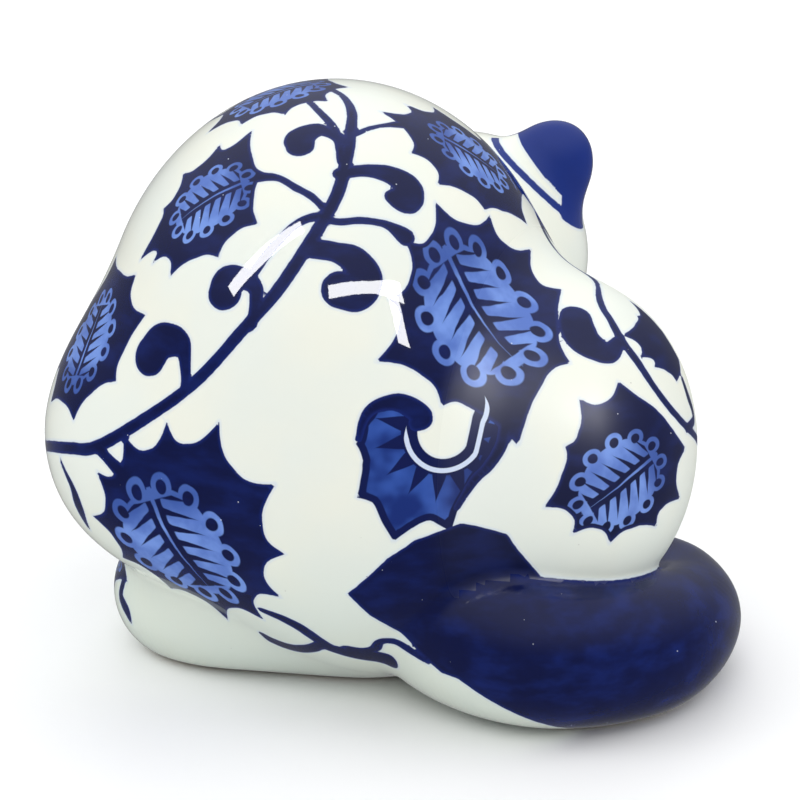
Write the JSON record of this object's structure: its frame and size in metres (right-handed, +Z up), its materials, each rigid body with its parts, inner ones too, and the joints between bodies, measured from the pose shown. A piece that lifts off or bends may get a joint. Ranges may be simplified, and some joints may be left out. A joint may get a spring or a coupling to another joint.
{
  "type": "cat figurine",
  "caption": "Hollow porcelain figurine of a round crouching cat with its tail wrapped round one haunch, decorated in blue leaf and scroll painting under a clear glaze.",
  "frame": {"origin": "on the surface the figurine stands on, under the middle of the whole figurine's box", "axes": "+Z up; the cat looks along -Y; +X is the cat's left side"},
  "size_m": [0.1104, 0.1126, 0.0924],
  "materials": {
    "white_glaze": "white porcelain under a clear high-gloss glaze, with cobalt-blue leaf and scroll painting",
    "cobalt_glaze": "porcelain washed all over in deep cobalt blue under a clear high-gloss glaze"
  },
  "bodies": {
    "root": {"body_shell": "white_glaze", "head_shell": "white_glaze", "left_ear": "cobalt_glaze", "right_ear": "cobalt_glaze", "tail": "cobalt_glaze", "left_hind_foot": "white_glaze", "right_hind_foot": "white_glaze", "left_front_paw": "white_glaze", "right_front_paw": "white_glaze"}
  },
  "joints": []
}
